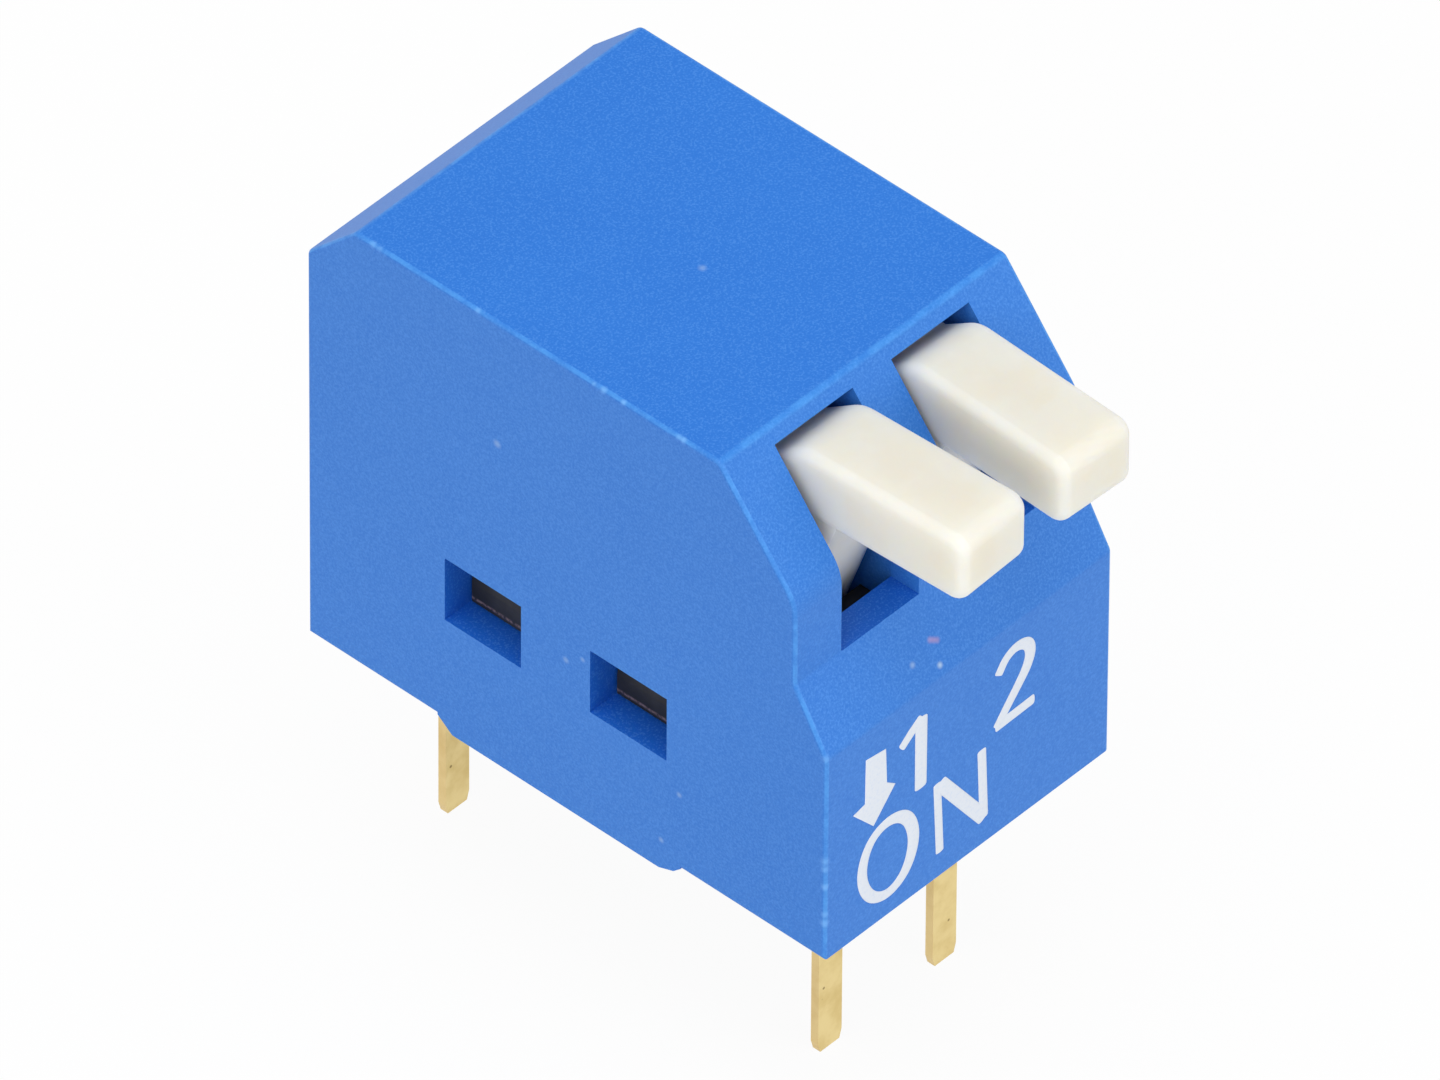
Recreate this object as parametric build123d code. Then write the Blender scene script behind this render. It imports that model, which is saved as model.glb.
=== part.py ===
from build123d import *
import math
import os

os.makedirs("parts", exist_ok=True)

# A two-position switch for a circuit board, worked from its edge by levers like piano keys.
# Sizes are in millimetres. +Z is up, the levers point forward along -Y, and the positions
# stand in a row along X. The origin is the centre of the pin grid, at the height where the
# feet of the housing meet the board. "Reach" is a distance forward of the origin.

# Pin grid
positions = 2
pitch = 2.54
row_spacing = 7.62

# Housing, seen from its side
rear_reach = -5.05
front_reach = 5.45
waist_reach = 4.80
brow_reach = 3.26
housing_top = 8.94
bend_height = 7.03
sill_height = 5.43
face_top = 4.32
skirt_height = 0.24
rear_chamfer = 0.97
wall = 0.56
bend_round = 0.80
corner_round = 0.16
edge_round = 0.07

# Housing, seen from the front
slot_width = 1.70
chamber_width = 1.76
cheek = 1.02
side_wall = 0.62
slot_top_drop = 0.22

# Feet and latch windows
foot_half_length = 2.10
foot_toe_length = 0.30
foot_toe_height = 0.11
foot_ramp_length = 0.14
window_length = 1.55
window_offset = 1.475
window_height = 1.25
window_cover = 0.17
latch_depth = 0.08
latch_gap = 0.05
latch_lip = 0.38

# Levers
pivot_reach = 1.20
pivot_depth = 1.04
travel = 26.0
toe_in = 2.2
toe_shift = 0.07
lever_width = 1.50
tab_reach = 6.95
tab_drop = 0.20
tab_thickness = 1.24
neck_reach = 3.80
neck_run = 0.70
neck_drop = 0.50
neck_round = 0.60
tip_round = 0.27
lever_edge_round = 0.18
leg_width = 1.40
leg_reach = 4.45
leg_lean = 18.4
sweep_clearance = 0.05
hub_radius = 0.42
trunnion_radius = 0.35
trunnion_gap = 0.03
bearing_clearance = 0.07

# Ball contact and its spring, carried in the lower arm of each lever
arm_width = 1.50
ball_radius = 0.45
ball_clearance = 0.02
bore_clearance = 0.05
bore_start = 1.00
spring_outer_radius = 0.42
spring_wire = 0.12
spring_turns = 7
spring_steps_per_turn = 16

# Terminals
sheet = 0.15
contact_width = 0.90
contact_split = 0.36
contact_margin = 4.0
pin_width = 0.52
shoulder_width = 0.64
shoulder_drop = 0.25
pin_length = 3.81
pin_tip_width = 0.42
pin_tip_length = 0.18
bend_inside = 0.12

# Base
base_low = 0.40
base_top = 3.69
stand_length = 1.00
stop_height = 4.88
stop_gap = 0.05
fit = 0.03

# Worked out from the sizes above
housing_width = (positions - 1) * pitch + slot_width + 2 * cheek
cavity_width = housing_width - 2 * side_wall
ceiling = housing_top - wall
shelf_height = base_top + fit
window_low = base_top - window_cover - window_height
pivot_height = housing_top - pivot_depth
tab_top = housing_top - tab_drop
tab_low = tab_top - tab_thickness
bearing_radius = trunnion_radius + bearing_clearance
rest_swing = travel / 2
contact_top = base_top + sheet
track_radius = (pivot_height - contact_top) / math.cos(math.radians(rest_swing + contact_margin))
ball_swing_radius = track_radius - ball_radius - ball_clearance
sweep_radius = pivot_height - contact_top - sweep_clearance
on_reach = pivot_reach - track_radius * math.sin(math.radians(rest_swing))
far = 3 * (front_reach - rear_reach)


def position_x(index):
    """Where a position stands along the row."""
    return (index - (positions - 1) / 2) * pitch


def plate(sketch, centre_x, width):
    """A side view, reach against height, made into a plate across X."""
    side = Plane(origin=(centre_x, 0, 0), x_dir=(0, -1, 0), z_dir=(-1, 0, 0))
    return extrude(side * sketch, amount=width / 2, both=True)


def band(low, high):
    """The part of a side view between two heights."""
    return Pos(0, (low + high) / 2) * Rectangle(far, high - low)


def disc(radius):
    """A circle about the lever pivot in a side view."""
    return Pos(pivot_reach, pivot_height) * Circle(radius)


def rounded(sketch, corners):
    """Round the corners of a side view, each given as its place and its radius."""
    for place, radius in corners:
        sketch = fillet(sketch.vertices().sort_by_distance(place)[0], radius)
    return sketch


def housing_outline(bottom):
    """The outer side view: chamfered back, slanted brow, waist, apron and upright face."""
    rear_shoulder = (rear_reach, housing_top - rear_chamfer)
    rear_crest = (rear_reach + rear_chamfer, housing_top)
    brow = (brow_reach, housing_top)
    bend = (waist_reach, bend_height)
    sill = (waist_reach, sill_height)
    face = (front_reach, face_top)
    outline = Polygon(
        (rear_reach, bottom), rear_shoulder, rear_crest, brow, bend, sill, face,
        (front_reach, bottom), align=None,
    )
    corners = [(bend, bend_round)]
    corners += [(place, corner_round) for place in (rear_shoulder, rear_crest, brow, sill, face)]
    return rounded(outline, corners)


def hollow(inset):
    """The inside of the housing in a side view, open below, shrunk from the outline."""
    return offset(housing_outline(-far), amount=-inset, kind=Kind.INTERSECTION)


def slot_outline():
    """The opening of a lever slot, from under the brow to the sill."""
    top = housing_top - slot_top_drop
    slant = (waist_reach - brow_reach) / (housing_top - bend_height)
    lip_reach = brow_reach + slot_top_drop * slant
    relief_reach = lip_reach - (top - ceiling) * neck_run / neck_drop
    return Polygon(
        (relief_reach, ceiling), (lip_reach, top), (far, top), (far, sill_height),
        (waist_reach - wall - fit, sill_height), align=None,
    )


def groove_outline(half_width):
    """A bearing groove: a round end at the pivot, open downwards to the shelf."""
    height = pivot_height - shelf_height + wall
    way_in = Pos(pivot_reach, pivot_height - height / 2) * Rectangle(2 * half_width, height)
    return way_in + disc(half_width)


def foot_outline():
    """A foot on the lower edge of a side wall: a slow rise then a steeper one in front, one behind."""
    toe = foot_half_length + foot_toe_length
    root = skirt_height + corner_round
    return Polygon(
        (-foot_half_length, 0), (foot_half_length, 0), (toe, foot_toe_height),
        (toe + foot_ramp_length, skirt_height), (toe + foot_ramp_length, root),
        (-toe, root), (-toe, skirt_height), align=None,
    )


def latch_windows():
    """The latch windows of both sides, as boxes right across the housing."""
    box = Box(housing_width + wall, window_length, window_height)
    return [Pos(0, side * window_offset, window_low + window_height / 2) * box for side in (-1, 1)]


def make_housing():
    """One moulding: shell, two lever slots with a web between, bearing grooves and feet."""
    body = plate(housing_outline(skirt_height), 0, housing_width)
    side_edges = body.faces().filter_by(Axis.X).edges()
    body = fillet(side_edges, edge_round)
    inside = hollow(wall)
    body -= plate(inside & band(-far, shelf_height), 0, cavity_width)
    for index in range(positions):
        x = position_x(index)
        body -= plate(inside & band(shelf_height - fit, far), x, chamber_width)
        body -= plate(slot_outline(), x, slot_width)
    body -= plate(groove_outline(bearing_radius), 0, cavity_width)
    body -= latch_windows()
    for side in (-1, 1):
        x = side * (housing_width - side_wall) / 2
        body += plate(foot_outline(), x, side_wall)
    return body


def pin_outline():
    """A terminal's blank from the front: wide contact, shoulder, pin and narrowed tip."""
    heights = [
        (contact_top + sheet, contact_width), (base_low, contact_width),
        (base_low, shoulder_width), (-shoulder_drop, shoulder_width),
        (-shoulder_drop - sheet / 2, pin_width), (pin_tip_length - pin_length, pin_width),
        (-pin_length, pin_tip_width),
    ]
    right = [(width / 2, height) for height, width in heights]
    left = [(-width / 2, height) for height, width in reversed(heights)]
    return Polygon(*right, *left, align=None)


def make_terminal(index, row):
    """A pin bent over the base into a contact that dips along the ball's track."""
    gap = contact_split / 2
    rows = {"front": (row_spacing / 2, on_reach + gap), "rear": (-row_spacing / 2, on_reach - gap)}
    pin_reach, inner_end = rows[row]
    outward = math.copysign(1, pin_reach)
    outer_end = pin_reach + outward * sheet / 2
    middle = (outer_end + inner_end) / 2
    length = abs(outer_end - inner_end)

    strip = Pos(middle, contact_top - sheet / 2) * Rectangle(length, sheet)
    along = Pos(middle, 0) * Rectangle(length, far)
    dip = (disc(track_radius + sheet) - disc(track_radius)) & along & band(0, contact_top)
    strip = (strip - disc(track_radius)) + dip
    post_height = contact_top + pin_length
    post = Pos(pin_reach, contact_top - post_height / 2) * Rectangle(sheet, post_height)
    strip += post
    outer_corner = (outer_end, contact_top)
    inner_corner = (pin_reach - outward * sheet / 2, contact_top - sheet)
    strip = rounded(strip, [(inner_corner, bend_inside), (outer_corner, bend_inside + sheet)])

    bent = plate(strip, position_x(index), contact_width)
    facing = Plane(origin=(position_x(index), 0, 0), x_dir=(1, 0, 0), z_dir=(0, -1, 0))
    return bent & extrude(facing * pin_outline(), amount=far / 2, both=True)


def make_latches():
    """The catches on both sides of the base, ramped upwards, that snap into the windows."""
    face = cavity_width / 2 - fit
    tip = face + fit + latch_depth
    low = window_low + latch_gap
    high = low + window_height - 2 * latch_gap
    blunt = low + latch_lip
    catches = []
    for side in (-1, 1):
        section = Polygon(
            (side * (face - wall), low), (side * tip, low), (side * tip, blunt),
            (side * face, high), (side * (face - wall), high), align=None,
        )
        for end in (-1, 1):
            place = Plane(origin=(0, end * window_offset, 0), x_dir=(1, 0, 0), z_dir=(0, -1, 0))
            catches.append(extrude(place * section, amount=window_length / 2 - latch_gap, both=True))
    return catches


def leg_front(height):
    """How far forward the front of a lever's leg lies at this height."""
    return leg_reach - (tab_low - height) * math.tan(math.radians(leg_lean))


def make_base(terminals):
    """The moulded block around the terminals: stand below, stops before the legs, bearing posts."""
    block = hollow(wall + fit) & band(base_low, base_top)
    body = plate(block - disc(track_radius + sheet), 0, cavity_width - 2 * fit)
    stand_height = (base_low + base_top) / 2
    body += Pos(0, 0, stand_height / 2) * Box(cavity_width - 2 * fit, stand_length, stand_height)

    behind = leg_front(stop_height) + stop_gap
    stop = hollow(wall + fit) & band(base_low, stop_height) & Pos(behind + far / 2, 0) * Rectangle(far, far)
    for index in range(positions):
        body += plate(stop, position_x(index), chamber_width - 2 * fit)
    post = groove_outline(bearing_radius - fit) & band(base_low + wall, pivot_height)
    post -= disc(bearing_radius)
    web = pitch - chamber_width
    for index in range(positions - 1):
        body += plate(post, position_x(index) + pitch / 2, web - 2 * fit)
    outer = cavity_width / 2
    inner = position_x(positions - 1) + chamber_width / 2
    for side in (-1, 1):
        body += plate(post, side * (outer + inner) / 2, outer - inner - 2 * fit)
    for catch in make_latches():
        body += catch
    for terminal in terminals:
        body -= terminal
    return body


def tab_outline():
    """The part of a lever that a finger presses, with its neck and its root in the housing."""
    neck = (neck_reach, tab_top)
    tab = Polygon(
        (pivot_reach, tab_low), (tab_reach, tab_low), (tab_reach, tab_top), neck,
        (neck_reach - neck_run, tab_top - neck_drop), (pivot_reach, tab_top - neck_drop),
        align=None,
    )
    tips = [((tab_reach, tab_low), tip_round), ((tab_reach, tab_top), tip_round)]
    return rounded(tab, tips + [(neck, neck_round)])


def leg_outline():
    """The hub, arm and leg below the tab, cut off along the arc that clears the contacts."""
    swing = math.radians(rest_swing)
    across = arm_width / 2
    down = pivot_height - contact_top
    back = (pivot_reach - across * math.cos(swing), pivot_height - across * math.sin(swing))
    heel = (back[0] + down * math.sin(swing), back[1] - down * math.cos(swing))
    root = (tab_low + tab_top - neck_drop) / 2
    leg = Polygon(
        (pivot_reach, root), (leg_reach, root), (leg_reach, tab_low),
        (leg_front(contact_top), contact_top), heel, back, align=None,
    )
    return (leg & disc(sweep_radius)) + disc(hub_radius)


def along_arm(distance):
    """A frame on the lower arm's axis, this far from the pivot, with Z towards the ball."""
    swing = math.radians(rest_swing)
    down = (0, -math.sin(swing), -math.cos(swing))
    start = Vector(0, -pivot_reach, pivot_height) + Vector(*down) * distance
    return Plane(origin=start, x_dir=(1, 0, 0), z_dir=down)


def make_lever():
    """A lever in the middle plane: tab, narrower leg, trunnions and a bore for spring and ball."""
    body = plate(tab_outline(), 0, lever_width)
    body = fillet(body.faces().filter_by(Axis.X).edges(), lever_edge_round)
    body += plate(leg_outline(), 0, leg_width)
    trunnion_length = cavity_width - 2 * (position_x(positions - 1) + toe_shift + trunnion_gap)
    body += plate(disc(trunnion_radius), 0, trunnion_length)
    bore_radius = ball_radius + bore_clearance
    bore = Cylinder(bore_radius, far, align=(Align.CENTER, Align.CENTER, Align.MIN))
    return body - along_arm(bore_start) * bore


def make_ball():
    """The ball that bridges the contacts."""
    return along_arm(ball_swing_radius) * Sphere(ball_radius)


def make_spring():
    """The coil spring between the end of the bore and the ball, as a hexagon drawn along a helix."""
    wire = spring_wire / 2
    coil_radius = spring_outer_radius - wire
    touch = ball_radius + wire + ball_clearance
    start = bore_start + wire + ball_clearance
    end = ball_swing_radius - math.sqrt(touch ** 2 - coil_radius ** 2)
    rise_per_turn = (end - start) / spring_turns
    steps = spring_turns * spring_steps_per_turn
    sections = []
    for step in range(steps + 1):
        turns = step / spring_steps_per_turn
        angle = 2 * math.pi * turns
        outward = Vector(math.cos(angle), math.sin(angle), 0)
        around = Vector(-math.sin(angle), math.cos(angle), rise_per_turn / (2 * math.pi * coil_radius))
        centre = outward * coil_radius + Vector(0, 0, rise_per_turn * turns)
        sections.append(Plane(origin=centre, x_dir=outward, z_dir=around) * RegularPolygon(wire, 6))
    return along_arm(start) * loft(sections, ruled=True)


def in_place(shape, index):
    """Set a lever's piece in its position, turned inwards by the play in its slot."""
    side = math.copysign(1, position_x(index))
    turn = Pos(0, -pivot_reach) * Rot(0, 0, -side * toe_in) * Pos(0, pivot_reach)
    return Pos(position_x(index) + side * toe_shift) * turn * shape


def main():
    """Make every piece and write it to its own file."""
    pieces = {"housing": make_housing()}
    terminals = {}
    lever, ball, spring = make_lever(), make_ball(), make_spring()
    for index in range(positions):
        number = index + 1
        pieces[f"lever_{number}"] = in_place(lever, index)
        pieces[f"contact_ball_{number}"] = in_place(ball, index)
        pieces[f"detent_spring_{number}"] = in_place(spring, index)
        for row in ("front", "rear"):
            terminals[f"{row}_terminal_{number}"] = make_terminal(index, row)
    pieces["terminal_base"] = make_base(terminals.values())
    pieces.update(terminals)
    for name, shape in pieces.items():
        export_step(shape, f"parts/{name}.step")


main()
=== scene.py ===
import bpy
import bmesh
import math
from mathutils import Matrix, Vector


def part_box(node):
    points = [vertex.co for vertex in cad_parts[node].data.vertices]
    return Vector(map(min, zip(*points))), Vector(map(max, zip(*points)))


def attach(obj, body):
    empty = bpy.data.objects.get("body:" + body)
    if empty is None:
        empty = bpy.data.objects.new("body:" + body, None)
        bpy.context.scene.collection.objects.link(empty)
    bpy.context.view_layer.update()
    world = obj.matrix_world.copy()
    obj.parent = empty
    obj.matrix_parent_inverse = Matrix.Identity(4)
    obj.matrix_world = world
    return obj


mm = 0.001

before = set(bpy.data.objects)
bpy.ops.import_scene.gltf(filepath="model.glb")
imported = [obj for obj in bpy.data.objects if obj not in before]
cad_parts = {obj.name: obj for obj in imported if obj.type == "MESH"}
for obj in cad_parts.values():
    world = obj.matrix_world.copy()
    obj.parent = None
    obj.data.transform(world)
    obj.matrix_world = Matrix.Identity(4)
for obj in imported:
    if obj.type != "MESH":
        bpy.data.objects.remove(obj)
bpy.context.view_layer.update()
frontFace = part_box("housing")[0][1]  # the housing's front lies at this Y
print("frame loaded")


# shader maths: a socket that can be added, multiplied and compared like a number
class Wire:
    def __init__(self, paint, socket):
        self.paint = paint
        self.socket = socket

    def maths(self, operation, first, second=0.0):
        node = self.paint.node("ShaderNodeMath", {"operation": operation}, {0: first, 1: second})
        return Wire(self.paint, node.outputs[0])

    def __add__(self, other):
        return self.maths("ADD", self, other)

    def __radd__(self, other):
        return self.maths("ADD", other, self)

    def __sub__(self, other):
        return self.maths("SUBTRACT", self, other)

    def __rsub__(self, other):
        return self.maths("SUBTRACT", other, self)

    def __mul__(self, other):
        return self.maths("MULTIPLY", self, other)

    def __rmul__(self, other):
        return self.maths("MULTIPLY", other, self)

    def __abs__(self):
        return self.maths("ABSOLUTE", self)

    def __pow__(self, other):
        return self.maths("POWER", self, other)

    def __gt__(self, other):
        return self.maths("GREATER_THAN", self, other)


class Paint:  # a material or world under construction, with every node made by one method
    def __init__(self, name, shelf=bpy.data.materials):
        self.material = shelf.new(name)
        self.material.use_nodes = True
        self.tree = self.material.node_tree
        self.tree.nodes.clear()
        self.place = self.node("ShaderNodeTexCoord")

    def node(self, kind, settings=None, values=None):
        made = self.tree.nodes.new(kind)
        for key, setting in (settings or {}).items():
            setattr(made, key, setting)
        for key, value in (values or {}).items():
            source = value.socket if isinstance(value, Wire) else value
            if isinstance(source, bpy.types.NodeSocket):
                self.tree.links.new(source, made.inputs[key])
            else:
                made.inputs[key].default_value = source
        return made

    def wire(self, node, output=0):
        return Wire(self, node.outputs[output])

    def noise(self, size, detail=3.0, roughness=0.55, stretch=(1, 1, 1)):
        values = {"Vector": self.place.outputs["Object"], "Scale": stretch}
        spread = self.node("ShaderNodeMapping", None, values)
        values = {"Vector": spread.outputs[0], "Scale": 1 / size, "Detail": detail, "Roughness": roughness}
        return self.wire(self.node("ShaderNodeTexNoise", None, values))

    def cells(self, size, spot, share):  # small round spots, one in this share of the cells
        values = {"Vector": self.place.outputs["Object"], "Scale": 1 / size, "Randomness": 1.0}
        node = self.node("ShaderNodeTexVoronoi", {"feature": "F1"}, values)
        near = self.between(self.wire(node, "Distance"), spot, spot * 0.5)
        lot = self.node("ShaderNodeSeparateColor", None, {"Color": node.outputs["Color"]})
        return near * (self.wire(lot) > 1 - share)

    def between(self, wire, low, high):  # 0 at low and 1 at high, smooth and clamped
        node = self.node("ShaderNodeMapRange", {"interpolation_type": "SMOOTHSTEP"},
                         {"Value": wire, "From Min": low, "From Max": high})
        return self.wire(node)

    def mix(self, share, first, second):
        node = self.node("ShaderNodeMix", {"data_type": "RGBA"}, {0: share, 6: first, 7: second})
        return Wire(self, node.outputs[2])

    def slopes(self):  # the surface direction in the part's own frame
        split = self.node("ShaderNodeSeparateXYZ", None, {"Vector": self.place.outputs["Normal"]})
        return [self.wire(split, axis) for axis in range(3)]

    def spots(self):  # the place on the part, in metres
        split = self.node("ShaderNodeSeparateXYZ", None, {"Vector": self.place.outputs["Object"]})
        return [self.wire(split, axis) for axis in range(3)]

    def bump(self, height, depth, strength):
        values = {"Height": height, "Distance": depth, "Strength": strength}
        return self.wire(self.node("ShaderNodeBump", None, values))

    def whiteToEye(self, plain, white, share=1.0):  # white where the camera, metal or glass sees it
        rays = self.node("ShaderNodeLightPath")
        seen = self.wire(rays, "Is Camera Ray") * share
        seen = seen + self.wire(rays, "Is Glossy Ray") + self.wire(rays, "Is Transmission Ray")
        return self.node("ShaderNodeMixShader", None, {0: seen, 1: plain.outputs[0], 2: white.outputs[0]})

    def finish(self, values):
        surface = self.node("ShaderNodeBsdfPrincipled", None, values)
        self.node("ShaderNodeOutputMaterial", None, {"Surface": surface.outputs[0]})
        return self.material


def linear(red, green, blue):  # a screen colour, 0 to 255, as the shader's own numbers
    shares = [level / 255 for level in (red, green, blue)]
    return tuple(s / 12.92 if s < 0.04045 else ((s + 0.055) / 1.055) ** 2.4 for s in shares) + (1.0,)


def wear(nodeName, material):
    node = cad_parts[nodeName]
    node.data.materials.clear()
    node.data.materials.append(material)


# kinds of noise: how many finer layers it has and how strong they are
fineGrain = {"detail": 4.0, "roughness": 0.6}
coarseGrain = {"detail": 5.0, "roughness": 0.65}
softGrain = {"detail": 3.0, "roughness": 0.5}


# housing: satin blue moulded plastic with a little dust; its colour also carries painted shade on the inner
# walls, painted sheen on the side faces and grain crests, painted shade in the grain hollows, and painted
# highlights along the edges, partly rubbed wear
housingLook = {
    "blue": linear(34, 120, 216), "deepBlue": linear(26, 111, 208), "cloudSize": 2.4 * mm,
    "roughness": 0.42, "unevenness": 0.10, "cloudiness": 0.05, "polish": 0.08, "specular": 0.34,
    # a face is square on to an axis above the first of these, and tipped from it below the second
    "squareOn": 0.98, "tipped": 0.70,
    # the faces round the sides get a paler, greyer blue: painted sheen, for the light these faces catch
    "sideSheenBlue": linear(64, 128, 210), "sideSheenShare": 0.5,
    # inner walls, facing forward or back within this reach, or level and below this height, get a darker
    # blue: painted shade
    "insideShadeBlue": linear(14, 84, 200), "insideShadeShare": 0.6, "insideReach": 3.0 * mm, "insideTop": 8.5 * mm,
    # grain of the moulded surface, with painted sheen on its crests and painted shade in its hollows
    "grainSize": 0.038 * mm, "grainDepth": 0.0017 * mm, "bumpStrength": 0.7,
    "crestSheen": linear(84, 152, 232), "crestSheenShare": 0.36, "crestSheenRange": (0.48, 0.64),
    "hollowShadeShare": 0.60, "hollowShadeRange": (0.48, 0.32),
    # painted highlights, partly rubbed wear, along the rounded edges and the long edges that run across
    # the part, broken up by scuffs: each long edge is its reach forward, its height and its half width, in mm
    "rubbedHighlight": linear(98, 184, 255), "rubHighlightShare": 0.27, "rubHighlightRange": (0.1, 1.0), "scuffSize": 0.35 * mm,
    "scuffRange": (0.40, 0.62), "scuffLeast": 0.45, "scuffMore": 0.75,
    "crests": [(3.26, 8.94, 0.07), (-4.08, 8.94, 0.05)],
    # dust: loose specks anywhere, then single ones, each its place and radius in mm and its strength
    "dust": linear(172, 200, 232), "dustCell": 1.3 * mm, "dustSpot": 0.035, "dustLot": 0.1, "dustShare": 0.4,
    "specks": [
        ((-0.57, -5.37, 4.45), 0.08, 0.9), ((-1.03, -5.24, 4.68), 0.08, 0.5),
        ((-0.19, -0.21, 8.94), 0.10, 0.35), ((-3.14, 1.19, 6.51), 0.11, 0.4),
        ((-3.14, -0.21, 3.02), 0.09, 0.35), ((-3.14, -0.55, 3.24), 0.07, 0.35),
        ((-3.14, -2.51, 1.74), 0.08, 0.4), ((-3.14, -2.15, 0.59), 0.08, 0.4)],
    "pinkDust": linear(214, 160, 178),
    "pinkSpecks": [
        ((-0.56, -5.16, 4.82), 0.08, 0.4), ((-0.50, -5.18, 4.79), 0.08, 0.4),
        ((-0.44, -5.20, 4.76), 0.08, 0.35)],
    # small bright nicks along the edges, partly wear and partly painted highlight spots, written as the
    # specks are
    "nickGlint": linear(140, 198, 255),
    "nickGlints": [
        ((-3.13, 3.72, 8.93), 0.10, 0.35), ((-3.13, 3.58, 8.93), 0.08, 0.3), ((-3.13, 1.60, 8.93), 0.08, 0.4),
        ((-3.13, -0.74, 8.93), 0.07, 0.35), ((-3.13, -0.93, 8.93), 0.10, 0.45),
        ((-3.13, -1.33, 8.93), 0.08, 0.5), ((-3.13, -2.44, 8.93), 0.08, 0.4),
        ((-3.13, -2.53, 8.93), 0.09, 0.5), ((-3.12, -5.43, 4.32), 0.10, 0.35),
        ((-3.12, -5.43, 2.24), 0.12, 0.35), ((-3.12, -5.43, 2.08), 0.10, 0.4),
        ((-3.12, -5.43, 1.72), 0.10, 0.45), ((-3.12, -5.43, 1.16), 0.10, 0.35),
        ((-3.12, -5.43, 0.98), 0.12, 0.4)],
}


def edgeTurn(paint):  # 1 where a side face rounds over into its neighbour
    sideways = abs(paint.slopes()[0])
    return paint.between(sideways * (1 - sideways), 0.02, 0.16)


def nearPoint(paint, place, radius):  # 1 at a point of the surface, fading at this radius
    values = {0: paint.place.outputs["Object"], 1: tuple(part * mm for part in place)}
    away = paint.node("ShaderNodeVectorMath", {"operation": "DISTANCE"}, values)
    return paint.between(paint.wire(away, "Value"), radius * mm, 0.0)


def crests(paint, lines):  # 1 along the named long edges
    y, z = paint.spots()[1:]
    share = 0.0
    for reach, height, halfWidth in lines:
        away = (abs(y + reach * mm) ** 2 + abs(z - height * mm) ** 2) ** 0.5
        share = share + paint.between(away, 1.6 * halfWidth * mm, 0.3 * halfWidth * mm)
    return share


def bluePlastic():
    look = housingLook
    paint = Paint("bluePlastic")
    grain = paint.noise(look["grainSize"], **fineGrain)
    cloud = paint.noise(look["cloudSize"])
    scuff = paint.noise(look["scuffSize"], **coarseGrain)
    ny, nz = paint.slopes()[1:]
    y, z = paint.spots()[1:]
    colour = paint.mix(cloud, look["blue"], look["deepBlue"])
    shadedInnerEnd = (abs(ny) > look["squareOn"]) * (1 - (abs(y) > look["insideReach"]))
    shadedInnerLevel = (abs(nz) > look["squareOn"]) * (1 - (z > look["insideTop"]))
    sideSheen = paint.between(abs(nz), look["squareOn"], look["tipped"]) * (1 - shadedInnerEnd)
    # painted shade: the inner walls darker
    colour = paint.mix((shadedInnerEnd + shadedInnerLevel) * look["insideShadeShare"], colour, look["insideShadeBlue"])
    # painted sheen: the side faces paler
    colour = paint.mix(sideSheen * look["sideSheenShare"], colour, look["sideSheenBlue"])
    # painted sheen on the grain's crests
    crestSheen = paint.between(grain, *look["crestSheenRange"])
    colour = paint.mix(crestSheen * look["crestSheenShare"], colour, look["crestSheen"])
    # painted shade in the grain's hollows
    hollowShade = paint.between(grain, *look["hollowShadeRange"])
    colour = paint.mix(hollowShade * look["hollowShadeShare"], colour, look["deepBlue"])
    # painted highlight along the edges, partly rubbed wear
    rubHighlight = paint.between(edgeTurn(paint) + crests(paint, look["crests"]), *look["rubHighlightRange"])
    rubHighlight = rubHighlight * (look["scuffLeast"] + look["scuffMore"] * paint.between(scuff, *look["scuffRange"]))
    colour = paint.mix(rubHighlight * look["rubHighlightShare"], colour, look["rubbedHighlight"])
    dust = paint.cells(look["dustCell"], look["dustSpot"], look["dustLot"])
    colour = paint.mix(dust * look["dustShare"], colour, look["dust"])
    # the specks and pink specks are dust; the nicks are partly wear and partly painted highlight
    for listed, finish in (("specks", "dust"), ("pinkSpecks", "pinkDust"), ("nickGlints", "nickGlint")):
        for place, radius, strength in look[listed]:
            colour = paint.mix(nearPoint(paint, place, radius) * strength, colour, look[finish])
    rough = look["roughness"] + grain * look["unevenness"] + cloud * look["cloudiness"] - rubHighlight * look["polish"]
    return paint.finish({
        "Base Color": colour, "Roughness": rough,
        "Specular IOR Level": look["specular"],
        "Normal": paint.bump(grain, look["grainDepth"], look["bumpStrength"]),
    })


# levers: cream plastic, slightly see-through at its edges
leverLook = {
    "cream": linear(227, 225, 216), "warm": linear(226, 222, 210), "cloudSize": 0.9 * mm,
    "warmRange": (0.38, 0.66), "cool": linear(221, 222, 218), "coolShare": 0.5, "coolRange": (0.5, 0.85),
    # painted highlight: the rounded edges a little paler, partly rubbed wear
    "rubbedHighlight": linear(250, 249, 244), "rubHighlightShare": 0.12,
    "roughness": 0.56, "unevenness": 0.12, "specular": 0.22,
    "grainSize": 0.05 * mm, "grainDepth": 0.0018 * mm, "bumpStrength": 0.6,
    # light goes this deep into the plastic, furthest in red
    "glowDepth": 1.1 * mm, "glowReach": (1.0, 0.85, 0.6),
}


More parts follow.
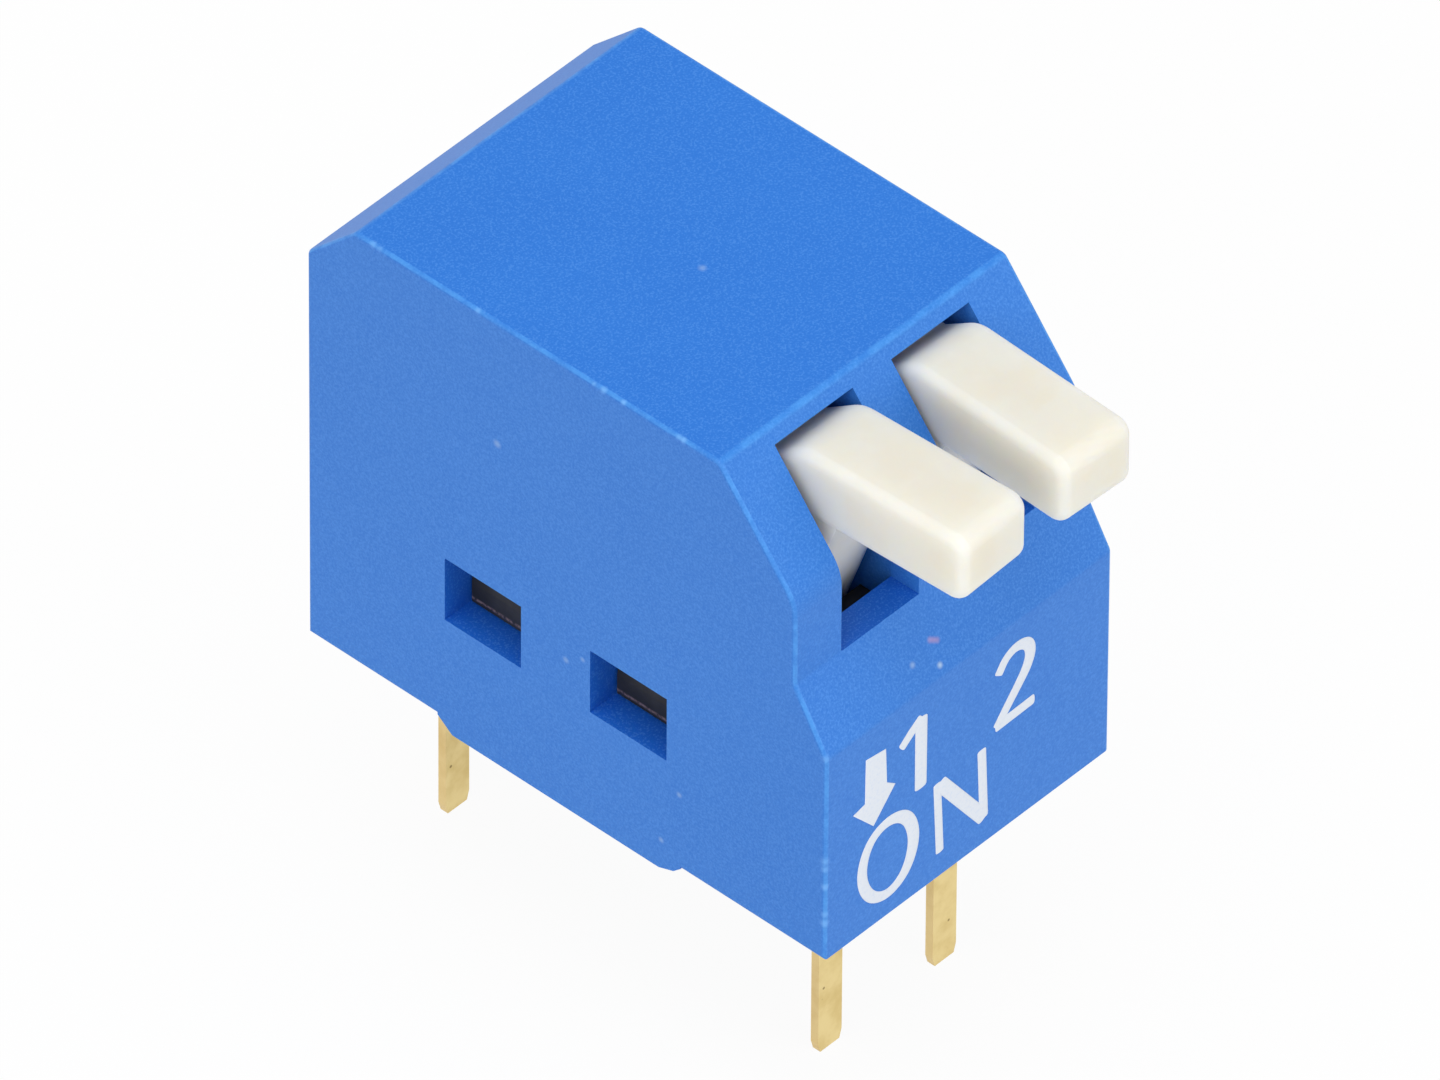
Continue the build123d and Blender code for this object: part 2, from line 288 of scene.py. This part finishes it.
def creamPlastic():
    look = leverLook
    paint = Paint("creamPlastic")
    grain = paint.noise(look["grainSize"], **fineGrain)
    cloud = paint.noise(look["cloudSize"])
    colour = paint.mix(paint.between(cloud, *look["warmRange"]), look["cream"], look["warm"])
    colour = paint.mix(paint.between(grain, *look["coolRange"]) * look["coolShare"], colour, look["cool"])
    # painted highlight along the rounded edges
    colour = paint.mix(edgeTurn(paint) * look["rubHighlightShare"], colour, look["rubbedHighlight"])
    return paint.finish({
        "Base Color": colour, "Roughness": look["roughness"] + grain * look["unevenness"],
        "Specular IOR Level": look["specular"], "Subsurface Weight": 1.0,
        "Subsurface Scale": look["glowDepth"], "Subsurface Radius": look["glowReach"],
        "Normal": paint.bump(grain, look["grainDepth"], look["bumpStrength"]),
    })


# base: black plastic inside the housing
baseLook = {
    "black": linear(24, 25, 28), "grey": linear(46, 47, 52), "cloudSize": 0.8 * mm,
    "greyGrain": 0.4, "greyRange": (0.55, 0.95), "roughness": 0.5, "unevenness": 0.2, "specular": 0.45,
    "grainSize": 0.06 * mm, "grainDepth": 0.003 * mm, "bumpStrength": 0.8,
    # painted highlight along the lower edge of the latch noses, seen in the side windows
    "latchHighlightColour": linear(150, 128, 132), "latchHighlightShare": 0.7, "lineRange": (0.35, 0.6),
    "lineHeight": 2.40 * mm, "lineHalfWidth": 0.045 * mm, "lineOut": 2.4 * mm,
}


def blackPlastic():
    look = baseLook
    paint = Paint("blackPlastic")
    grain = paint.noise(look["grainSize"], **coarseGrain)
    cloud = paint.noise(look["cloudSize"])
    x, _, z = paint.spots()
    grey = paint.between(cloud + grain * look["greyGrain"], *look["greyRange"])
    colour = paint.mix(grey, look["black"], look["grey"])
    # painted highlight line along the latch noses
    latchHighlight = paint.between(abs(z - look["lineHeight"]), look["lineHalfWidth"], 0.0) * (abs(x) > look["lineOut"])
    latchHighlight = latchHighlight * paint.between(grain, *look["lineRange"])
    colour = paint.mix(latchHighlight * look["latchHighlightShare"], colour, look["latchHighlightColour"])
    return paint.finish({
        "Base Color": colour, "Roughness": look["roughness"] + grain * look["unevenness"],
        "Specular IOR Level": look["specular"],
        "Normal": paint.bump(grain, look["grainDepth"], look["bumpStrength"]),
    })


# pins: matte gold plating over brass, with rolling marks and a few dull specks
pinLook = {
    "gold": linear(234, 213, 152), "dullGold": linear(219, 194, 128), "cloudSize": 0.5 * mm,
    "dullRange": (0.35, 0.7), "metal": 0.8, "roughness": 0.40, "unevenness": 0.18,
    # the strip's cut sides are redder
    "copper": linear(222, 190, 136), "copperShare": 0.4, "copperRange": (0.5, 0.9),
    "grainSize": 0.035 * mm, "grainDepth": 0.002 * mm, "bumpStrength": 0.8, "grainShare": 0.6,
    "rolling": (6, 6, 0.5), "rollingShare": 0.5,
    "speck": linear(120, 96, 48), "speckShare": 0.7, "speckRoughness": 0.2,
    "speckCell": 0.34 * mm, "speckSpot": 0.11, "speckLot": 0.3,
}


def platedGold():
    look = pinLook
    paint = Paint("platedGold")
    grain = paint.noise(look["grainSize"], **fineGrain)
    rolled = paint.noise(look["grainSize"], **softGrain, stretch=look["rolling"])
    cloud = paint.noise(look["cloudSize"])
    sheared = paint.between(abs(paint.slopes()[0]), *look["copperRange"])
    speck = paint.cells(look["speckCell"], look["speckSpot"], look["speckLot"])
    colour = paint.mix(paint.between(cloud, *look["dullRange"]), look["gold"], look["dullGold"])
    colour = paint.mix(sheared * look["copperShare"], colour, look["copper"])
    colour = paint.mix(speck * look["speckShare"], colour, look["speck"])
    rough = look["roughness"] + grain * look["unevenness"] + speck * look["speckRoughness"]
    relief = grain * look["grainShare"] + rolled * look["rollingShare"]
    return paint.finish({
        "Base Color": colour, "Roughness": rough, "Metallic": look["metal"],
        "Normal": paint.bump(relief, look["grainDepth"], look["bumpStrength"]),
    })


# balls and springs, inside the housing: plain metal with a fine grain
contactLook = {
    "colour": linear(236, 204, 128), "roughness": 0.2, "unevenness": 0.12,
    "grainSize": 0.03 * mm, "grainDepth": 0.0008 * mm, "bumpStrength": 0.6,
}
springLook = {
    "colour": linear(176, 178, 182), "roughness": 0.3, "unevenness": 0.15,
    "grainSize": 0.02 * mm, "grainDepth": 0.001 * mm, "bumpStrength": 0.6,
}


def plainMetal(name, look):
    paint = Paint(name)
    grain = paint.noise(look["grainSize"])
    return paint.finish({
        "Base Color": look["colour"], "Roughness": look["roughness"] + grain * look["unevenness"],
        "Metallic": 1.0, "Normal": paint.bump(grain, look["grainDepth"], look["bumpStrength"]),
    })


# print on the front face: thin white ink
inkLook = {
    "white": linear(224, 230, 239), "roughness": 0.5, "unevenness": 0.15,
    "thin": linear(192, 210, 238), "thinShare": 0.45, "thinRange": (0.45, 0.8),
    "grainSize": 0.06 * mm, "grainDepth": 0.002 * mm, "bumpStrength": 0.5, "thickness": 0.010 * mm,
}


def whiteInk():
    look = inkLook
    paint = Paint("whiteInk")
    grain = paint.noise(look["grainSize"], **fineGrain)
    thin = paint.between(grain, *look["thinRange"]) * look["thinShare"]
    return paint.finish({
        "Base Color": paint.mix(thin, look["white"], look["thin"]),
        "Roughness": look["roughness"] + grain * look["unevenness"],
        "Normal": paint.bump(grain, look["grainDepth"], look["bumpStrength"]),
    })


print("making materials")
cream, gold, ink = creamPlastic(), platedGold(), whiteInk()
bright, steel = plainMetal("brightGold", contactLook), plainMetal("drawnWire", springLook)
wear("housing", bluePlastic())
wear("terminal_base", blackPlastic())
for number in (1, 2):
    wear(f"lever_{number}", cream)
    wear(f"contact_ball_{number}", bright)
    wear(f"detent_spring_{number}", steel)
    for row in ("front", "rear"):
        wear(f"{row}_terminal_{number}", gold)


# marks: each stroke is its points across and up the face, in mm, with its width at each point
marks = {
    "letterO": [{"closed": True, "points": [
        (-1.77, 2.18, 0.20), (-1.33, 1.99, 0.24), (-1.15, 1.42, 0.26), (-1.33, 0.84, 0.24),
        (-1.75, 0.62, 0.19), (-2.17, 0.84, 0.21), (-2.37, 1.40, 0.22), (-2.20, 1.98, 0.21)]}],
    "letterN": [
        {"points": [(-0.68, 2.12, 0.17), (-0.61, 0.76, 0.17)]},
        {"points": [(-0.58, 2.08, 0.26), (0.33, 0.80, 0.26)]},
        {"points": [(0.30, 2.13, 0.19), (0.36, 0.80, 0.19)]}],
    "figure1": [
        {"points": [(-1.05, 3.70, 0.27), (-1.05, 2.40, 0.26)]},
        {"points": [(-1.08, 3.74, 0.20), (-1.28, 3.60, 0.20), (-1.45, 3.46, 0.19)]}],
    "figure2": [
        {"curved": True, "points": [
            (0.67, 3.49, 0.20), (0.80, 3.69, 0.20), (1.04, 3.79, 0.20), (1.29, 3.70, 0.22),
            (1.37, 3.46, 0.24), (1.28, 3.20, 0.24), (1.08, 2.95, 0.22), (0.84, 2.67, 0.21),
            (0.65, 2.44, 0.20)]},
        {"points": [(0.65, 2.42, 0.20), (1.40, 2.44, 0.20)]}],
}
arrow = {
    "corners": [
        (-2.26, 3.72), (-1.84, 3.66), (-1.81, 2.96), (-1.63, 2.82),
        (-2.09, 2.29), (-2.52, 2.78), (-2.27, 2.84)],
    "rim": 0.02 * mm, "rimSteps": 2,
}
strokeLook = {
    "girth": 1.0 * mm, "sides": 6, "smooth": 8, "weld": 0.0002 * mm,
    "capSteps": (0.5, 0.8, 0.95, 1.0), "capLength": 0.6, "capBluntness": 5,
}


def makeFlat(name, curve):
    holder = bpy.data.objects.new(name + "Curve", curve)
    bpy.context.scene.collection.objects.link(holder)
    bpy.context.view_layer.update()
    mesh = bpy.data.meshes.new_from_object(holder.evaluated_get(bpy.context.evaluated_depsgraph_get()))
    bpy.data.objects.remove(holder)
    return mesh


def onFace(name, mesh):
    # the curve lies in its own XY plane: stand it up and press it on the front face
    face = Matrix.Translation((0, frontFace, 0)) @ Matrix.Rotation(math.radians(90), 4, "X")
    work = bmesh.new()
    work.from_mesh(mesh)
    deepest = max(abs(vertex.co.z) for vertex in work.verts)
    bmesh.ops.scale(work, vec=(1, 1, inkLook["thickness"] / deepest), verts=work.verts)
    bmesh.ops.transform(work, matrix=face, verts=work.verts)
    bmesh.ops.remove_doubles(work, verts=work.verts, dist=strokeLook["weld"])
    bmesh.ops.recalc_face_normals(work, faces=work.faces)
    work.to_mesh(mesh)
    work.free()
    for polygon in mesh.polygons:
        polygon.use_smooth = True
    piece = bpy.data.objects.new(name, mesh)
    bpy.context.scene.collection.objects.link(piece)
    piece.data.materials.clear()
    piece.data.materials.append(ink)
    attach(piece, "housing")


def bluntEnds(points):
    # add points beyond both ends, with widths that shrink late, for a blunt round end
    def cap(end, inner):
        away = Vector(end[:2]) - Vector(inner[:2])
        away.normalize()
        reach = strokeLook["capLength"] * end[2] / 2
        added = []
        for step in strokeLook["capSteps"]:
            spot = Vector(end[:2]) + away * reach * step
            added.append((*spot, end[2] * max(1 - step ** strokeLook["capBluntness"], 0.02) ** 0.5))
        return added
    return cap(points[0], points[1])[::-1] + list(points) + cap(points[-1], points[-2])


def drawMark(name, strokes):
    curve = bpy.data.curves.new(name, "CURVE")
    curve.dimensions = "3D"
    curve.bevel_depth = strokeLook["girth"] / 2
    curve.bevel_resolution = strokeLook["sides"]
    curve.use_fill_caps = True
    for stroke in strokes:
        closed = stroke.get("closed", False)
        points = stroke["points"] if closed else bluntEnds(stroke["points"])
        spline = curve.splines.new("NURBS" if closed or stroke.get("curved") else "POLY")
        spline.points.add(len(points) - 1)
        for knot, (across, up, width) in zip(spline.points, points):
            knot.co = (across * mm, up * mm, 0, 1)
            knot.radius = width
        spline.use_cyclic_u = closed
        spline.use_endpoint_u = not closed
        spline.order_u = 3
        spline.resolution_u = strokeLook["smooth"]
    onFace(name, makeFlat(name, curve))


def drawArrow(name):
    curve = bpy.data.curves.new(name, "CURVE")
    curve.dimensions = "2D"
    curve.fill_mode = "BOTH"
    curve.extrude = inkLook["thickness"]
    curve.bevel_depth = arrow["rim"]
    curve.offset = -arrow["rim"] / 2
    curve.bevel_resolution = arrow["rimSteps"]
    spline = curve.splines.new("POLY")
    spline.points.add(len(arrow["corners"]) - 1)
    for knot, (across, up) in zip(spline.points, arrow["corners"]):
        knot.co = (across * mm, up * mm, 0, 1)
    spline.use_cyclic_u = True
    onFace(name, makeFlat(name, curve))


print("printing the marks")
for markName, strokes in marks.items():
    drawMark(markName, strokes)
drawArrow("onArrow")


# camera: fitted to the pin grid and the housing's corners
view = {
    "turn": -47.6093, "lift": 42.9351, "lean": 0.4055, "distance": 515.1584 * mm,
    "height": 3.5 * mm, "right": 0.3160 * mm, "up": -0.2299 * mm, "lens": 864.24, "sensor": 36.0,
    "nearest": 0.02,
}


def placeCamera():
    turn, lift, lean = (math.radians(view[key]) for key in ("turn", "lift", "lean"))
    back = Vector((math.sin(turn) * math.cos(lift), -math.cos(turn) * math.cos(lift), math.sin(lift)))
    right = Vector((math.cos(turn), math.sin(turn), 0))
    up = back.cross(right)
    aim = Vector((0, 0, view["height"])) + right * view["right"] + up * view["up"]
    leanRight = right * math.cos(lean) + up * math.sin(lean)
    leanUp = up * math.cos(lean) - right * math.sin(lean)
    lens = bpy.data.cameras.new("photoView")
    lens.lens = view["lens"]
    lens.sensor_width = view["sensor"]
    lens.clip_start = view["nearest"]
    camera = bpy.data.objects.new("photoView", lens)
    bpy.context.scene.collection.objects.link(camera)
    pose = Matrix((leanRight, leanUp, back)).transposed().to_4x4()
    pose.translation = aim + back * view["distance"]
    camera.matrix_world = pose
    bpy.context.scene.camera = camera


# room: white floor and soft light from all round
room = {
    "floorSize": 0.8, "floorDrop": 0.005 * mm, "floorColour": (0.88, 0.88, 0.88, 1), "floorGlow": 0.94,
    "white": (1.0, 1.0, 1.0, 1), "skyStrength": 0.56, "lampAim": (0, 0, 4 * mm),
}
lamps = {
    "topSoft": {"spot": (-0.05, -0.02, 0.30), "size": 0.26, "power": 0.375, "colour": (1.0, 1.0, 1.0)},
    "leftSoft": {"spot": (-0.28, -0.10, 0.14), "size": 0.24, "power": 0.235, "colour": (1.0, 0.99, 0.97)},
    "frontSoft": {"spot": (0.06, -0.30, 0.12), "size": 0.24, "power": 0.24, "colour": (1.0, 0.99, 0.98)},
}


def whiteFloor():
    paint = Paint("whiteFloor")
    matte = paint.node("ShaderNodeBsdfDiffuse", None, {"Color": room["floorColour"]})
    glow = paint.node("ShaderNodeEmission", None, {"Color": room["white"], "Strength": 1.0})
    both = paint.whiteToEye(matte, glow, room["floorGlow"])
    paint.node("ShaderNodeOutputMaterial", None, {"Surface": both.outputs[0]})
    return paint.material


def layFloor():
    work = bmesh.new()
    bmesh.ops.create_grid(work, x_segments=1, y_segments=1, size=room["floorSize"])
    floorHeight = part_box("front_terminal_1")[0][2] - room["floorDrop"]
    bmesh.ops.translate(work, vec=(0, 0, floorHeight), verts=work.verts)
    mesh = bpy.data.meshes.new("floor")
    work.to_mesh(mesh)
    work.free()
    floor = bpy.data.objects.new("floor", mesh)
    bpy.context.scene.collection.objects.link(floor)
    floor.data.materials.append(whiteFloor())


def lightRoom():
    paint = Paint("softRoom", bpy.data.worlds)
    bpy.context.scene.world = paint.material
    sky = paint.node("ShaderNodeBackground", None, {"Color": room["white"], "Strength": room["skyStrength"]})
    plain = paint.node("ShaderNodeBackground", None, {"Color": room["white"], "Strength": 1.0})
    both = paint.whiteToEye(sky, plain)
    paint.node("ShaderNodeOutputWorld", None, {"Surface": both.outputs[0]})
    aim = Vector(room["lampAim"])
    for name, lamp in lamps.items():
        light = bpy.data.lights.new(name, "AREA")
        light.shape = "DISK"
        light.size = lamp["size"]
        light.energy = lamp["power"]
        light.color = lamp["colour"]
        holder = bpy.data.objects.new(name, light)
        holder.location = lamp["spot"]
        holder.rotation_euler = (Vector(lamp["spot"]) - aim).to_track_quat("Z", "Y").to_euler()
        bpy.context.scene.collection.objects.link(holder)
    bpy.context.scene.view_settings.view_transform = "Standard"


print("setting the camera and the room")
placeCamera()
layFloor()
lightRoom()
